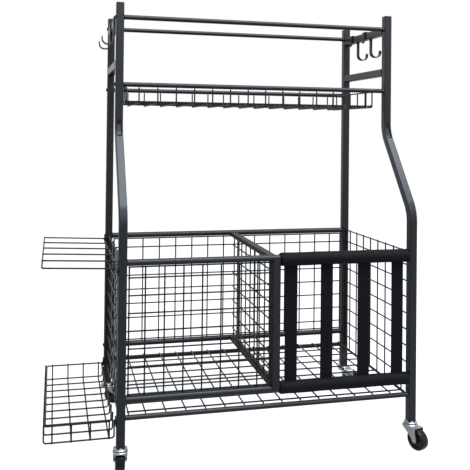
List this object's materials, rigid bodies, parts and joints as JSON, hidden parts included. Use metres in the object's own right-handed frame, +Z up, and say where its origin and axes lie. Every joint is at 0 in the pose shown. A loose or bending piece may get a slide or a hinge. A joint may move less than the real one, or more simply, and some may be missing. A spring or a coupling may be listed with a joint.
{
  "type": "ball cart",
  "caption": "Rolling ball cart: tube frame on swivel casters with mesh ball bins, a strap front, a hanging tray, a side rack and basket, and hooks.",
  "frame": {"origin": "middle of the part's footprint, on the floor", "axes": "+Z up, the front faces -Y, and the side rack and basket are on the -X side"},
  "size_m": [1.0198, 0.4908, 1.1733],
  "materials": {
    "black_steel": "satin powder coat",
    "zinc_steel": "bright zinc plating",
    "black_plastic": "moulded",
    "wheel_rubber": "moulded, slightly worn",
    "padded_sleeve": "woven cover over foam",
    "elastic_strap": "woven elastic"
  },
  "bodies": {
    "root": {"post_front_left": "black_steel", "post_cap_front_left": "black_plastic", "post_front_right": "black_steel", "post_cap_front_right": "black_plastic", "post_rear_left": "black_steel", "post_cap_rear_left": "black_plastic", "post_rear_right": "black_steel", "post_cap_rear_right": "black_plastic", "hook_bar_left": "black_steel", "side_brace_left": "black_steel", "hook_bar_right": "black_steel", "side_brace_right": "black_steel", "top_rail_front": "black_steel", "top_rail_rear": "black_steel", "tray_rail_front": "black_steel", "tray_rail_rear": "black_steel", "bin_rail_front": "black_steel", "bin_rail_rear": "black_steel", "base_rail_front": "black_steel", "base_rail_rear": "black_steel", "floor_rail_front": "black_steel", "floor_rail_rear": "black_steel", "rear_panel": "black_steel", "front_panel_left": "black_steel", "side_panel_left": "black_steel", "side_panel_right": "black_steel", "floor_grid": "black_steel", "divider_frame": "black_steel", "divider_panel": "black_steel", "sleeve_upper": "padded_sleeve", "sleeve_lower": "padded_sleeve", "strap_1": "elastic_strap", "strap_2": "elastic_strap", "strap_3": "elastic_strap", "strap_4": "elastic_strap", "tray": "black_steel", "side_rack": "black_steel", "side_basket": "black_steel", "caster_stem_front_left": "zinc_steel", "caster_stem_front_right": "zinc_steel", "caster_stem_rear_left": "zinc_steel", "caster_stem_rear_right": "zinc_steel"},
    "caster_front_left": {"caster_fork_front_left": "zinc_steel", "axle_front_left": "zinc_steel"},
    "wheel_body_front_left": {"wheel_front_left": "wheel_rubber"},
    "caster_front_right": {"caster_fork_front_right": "zinc_steel", "axle_front_right": "zinc_steel"},
    "wheel_body_front_right": {"wheel_front_right": "wheel_rubber"},
    "caster_rear_left": {"caster_fork_rear_left": "zinc_steel", "axle_rear_left": "zinc_steel"},
    "wheel_body_rear_left": {"wheel_rear_left": "wheel_rubber"},
    "caster_rear_right": {"caster_fork_rear_right": "zinc_steel", "axle_rear_right": "zinc_steel"},
    "wheel_body_rear_right": {"wheel_rear_right": "wheel_rubber"},
    "hook_left_front_body": {"hook_left_front": "black_steel"},
    "hook_left_rear_body": {"hook_left_rear": "black_steel"},
    "hook_right_front_body": {"hook_right_front": "black_steel"},
    "hook_right_rear_body": {"hook_right_rear": "black_steel"}
  },
  "joints": [
    {"name": "swivel_front_left", "type": "hinge", "parent": "root", "child": "caster_front_left", "pos_m": [-0.31643, -0.19456, 0.06], "axis": [0, 0, 1], "continuous": true},
    {"name": "wheel_spin_front_left", "type": "hinge", "parent": "caster_front_left", "child": "wheel_body_front_left", "pos_m": [-0.31392, -0.17069, 0.0265], "axis": [-0.9945, 0.1045, 0], "continuous": true},
    {"name": "swivel_front_right", "type": "hinge", "parent": "root", "child": "caster_front_right", "pos_m": [0.45857, -0.19456, 0.06], "axis": [0, 0, 1], "continuous": true},
    {"name": "wheel_spin_front_right", "type": "hinge", "parent": "caster_front_right", "child": "wheel_body_front_right", "pos_m": [0.46598, -0.21738, 0.0265], "axis": [0.9511, 0.309, 0], "continuous": true},
    {"name": "swivel_rear_left", "type": "hinge", "parent": "root", "child": "caster_rear_left", "pos_m": [-0.31643, 0.21244, 0.06], "axis": [0, 0, 1], "continuous": true},
    {"name": "wheel_spin_rear_left", "type": "hinge", "parent": "caster_rear_left", "child": "wheel_body_rear_left", "pos_m": [-0.29524, 0.22371, 0.0265], "axis": [-0.4695, 0.8829, 0], "continuous": true},
    {"name": "swivel_rear_right", "type": "hinge", "parent": "root", "child": "caster_rear_right", "pos_m": [0.45857, 0.21244, 0.06], "axis": [0, 0, 1], "continuous": true},
    {"name": "wheel_spin_rear_right", "type": "hinge", "parent": "caster_rear_right", "child": "wheel_body_rear_right", "pos_m": [0.4822, 0.20828, 0.0265], "axis": [0.1736, 0.9848, 0], "continuous": true},
    {"name": "hook_left_front_slide", "type": "slide", "parent": "root", "child": "hook_left_front_body", "axis": [0, 1, 0], "range_m": [-0.028, 0.045]},
    {"name": "hook_left_rear_slide", "type": "slide", "parent": "root", "child": "hook_left_rear_body", "axis": [0, 1, 0], "range_m": [-0.045, 0.086]},
    {"name": "hook_right_front_slide", "type": "slide", "parent": "root", "child": "hook_right_front_body", "axis": [0, 1, 0], "range_m": [-0.097, 0.033]},
    {"name": "hook_right_rear_slide", "type": "slide", "parent": "root", "child": "hook_right_rear_body", "axis": [0, 1, 0], "range_m": [-0.033, 0.042]}
  ]
}
